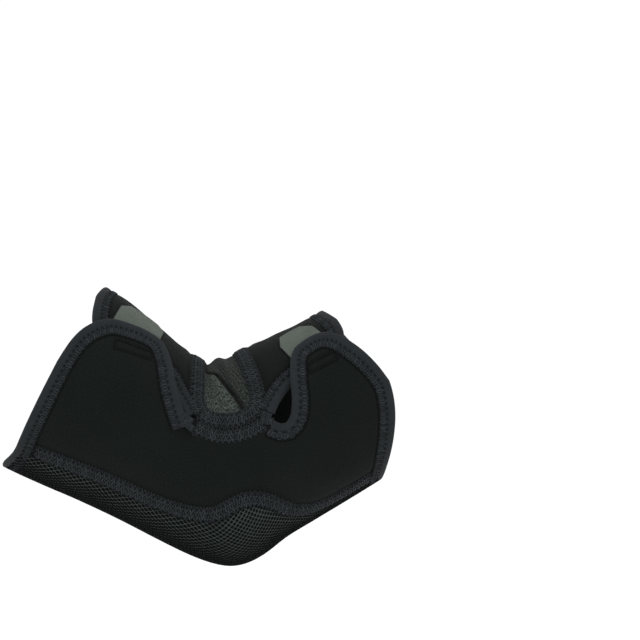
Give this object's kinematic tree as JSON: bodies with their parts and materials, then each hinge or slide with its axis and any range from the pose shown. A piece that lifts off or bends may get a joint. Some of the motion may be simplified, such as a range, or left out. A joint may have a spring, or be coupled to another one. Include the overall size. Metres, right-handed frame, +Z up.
{
  "type": "elbow brace",
  "caption": "Fabric elbow brace in its worn shape, with a folded knit crook, a mesh back, bound slits at the front and hook tabs that close the overlapping flaps.",
  "frame": {"origin": "centre of the elbow, inside the brace, where the arm holds it", "axes": "+Z up towards the crook of the bent elbow, upper arm towards -X, forearm towards +X, the overlapping near side towards -Y"},
  "size_m": [0.21, 0.098, 0.1533],
  "materials": {
    "foam_cloth": "jersey-faced foam cloth, matt black",
    "mesh_cloth": "open spacer mesh, matt black",
    "rib_knit": "ribbed knit, dark grey-green",
    "seam_thread": "flat-locked thread, black",
    "binding_tape": "folded stretch tape with overlock stitches, charcoal",
    "hook_tab": "brushed hook tape, grey"
  },
  "bodies": {
    "root": {"near_panel": "foam_cloth", "far_panel": "foam_cloth", "back_mesh": "mesh_cloth", "crook_knit": "rib_knit", "near_back_seam": "seam_thread", "far_back_seam": "seam_thread", "crook_border": "binding_tape", "valley_seam": "seam_thread", "upper_cuff_binding": "binding_tape", "fore_cuff_binding": "binding_tape", "near_upper_flap_binding": "binding_tape", "near_fore_flap_binding": "binding_tape", "far_upper_flap_binding": "binding_tape", "far_fore_flap_binding": "binding_tape", "upper_hook_tab": "hook_tab", "fore_hook_tab": "hook_tab"}
  },
  "joints": []
}
